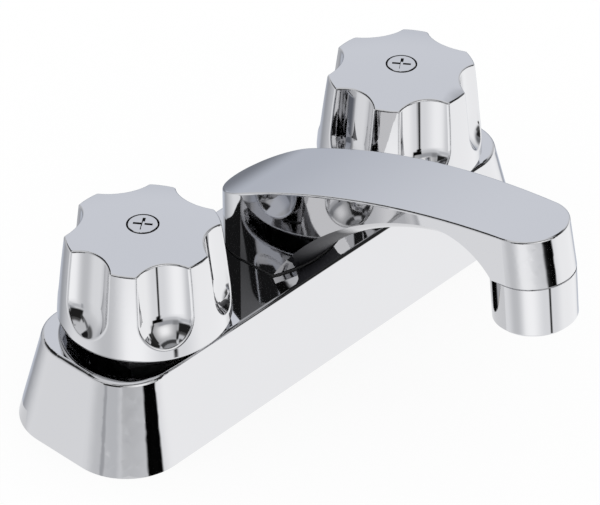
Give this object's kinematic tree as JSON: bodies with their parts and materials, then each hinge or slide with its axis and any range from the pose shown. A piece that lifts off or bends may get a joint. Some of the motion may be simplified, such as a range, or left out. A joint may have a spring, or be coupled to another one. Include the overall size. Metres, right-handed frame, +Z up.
{
  "type": "basin mixer tap",
  "caption": "Deck-mounted basin mixer tap: drafted base cover, fluted hot and cold knobs, low-arc spout with aerator, and threaded inlet shanks below the deck.",
  "frame": {"origin": "middle of the tap's underside, on the deck plane, between the two inlet shanks", "axes": "+X from the hot knob to the cold knob, +Z up from the deck, spout towards -Y"},
  "size_m": [0.1676, 0.1272, 0.1239],
  "materials": {
    "polished_chrome": "mirror-polished chrome plate",
    "button_chrome": "polished chrome with a cross recess",
    "cast_brass": "sand-cast, unpolished",
    "turned_brass": "turned",
    "plated_brass": "turned and nickel-plated",
    "stainless_steel": "stamped",
    "black_rubber": "moulded, matt",
    "black_plastic": "moulded, matt",
    "white_plastic": "moulded, matt",
    "ceramic": "ground ceramic"
  },
  "bodies": {
    "tap_body": {"base_cover": "polished_chrome", "deck_gasket": "black_plastic", "waterway_body": "cast_brass", "spout": "polished_chrome", "spout_gasket": "black_rubber", "spout_shank": "turned_brass", "lower_shank_seal": "black_rubber", "upper_shank_seal": "black_rubber", "spout_locknut": "turned_brass", "aerator_housing": "polished_chrome", "aerator_insert": "white_plastic", "stream_former": "white_plastic", "aerator_washer": "black_rubber", "hot_inlet_shank": "turned_brass", "hot_mounting_washer": "stainless_steel", "hot_mounting_nut": "black_plastic", "hot_seat_seal": "black_rubber", "hot_cartridge_body": "turned_brass", "hot_fixed_disc": "ceramic", "hot_bonnet_nut": "plated_brass", "hot_cover_locknut": "stainless_steel", "cold_inlet_shank": "turned_brass", "cold_mounting_washer": "stainless_steel", "cold_mounting_nut": "black_plastic", "cold_seat_seal": "black_rubber", "cold_cartridge_body": "turned_brass", "cold_fixed_disc": "ceramic", "cold_bonnet_nut": "plated_brass", "cold_cover_locknut": "stainless_steel"},
    "hot_knob": {"hot_handle": "polished_chrome", "hot_index_button": "button_chrome", "hot_handle_screw": "stainless_steel", "hot_stem": "turned_brass", "hot_stem_clip": "stainless_steel", "hot_stem_seal": "black_rubber", "hot_moving_disc": "ceramic"},
    "cold_knob": {"cold_handle": "polished_chrome", "cold_index_button": "button_chrome", "cold_handle_screw": "stainless_steel", "cold_stem": "turned_brass", "cold_stem_clip": "stainless_steel", "cold_stem_seal": "black_rubber", "cold_moving_disc": "ceramic"}
  },
  "joints": [
    {"name": "hot_handle_turn", "type": "hinge", "parent": "tap_body", "child": "hot_knob", "pos_m": [-0.0508, 0, 0.03], "axis": [0, 0, 1], "range_deg": [0, 90]},
    {"name": "cold_handle_turn", "type": "hinge", "parent": "tap_body", "child": "cold_knob", "pos_m": [0.0508, 0, 0.03], "axis": [0, 0, 1], "range_deg": [-90, 0]}
  ]
}
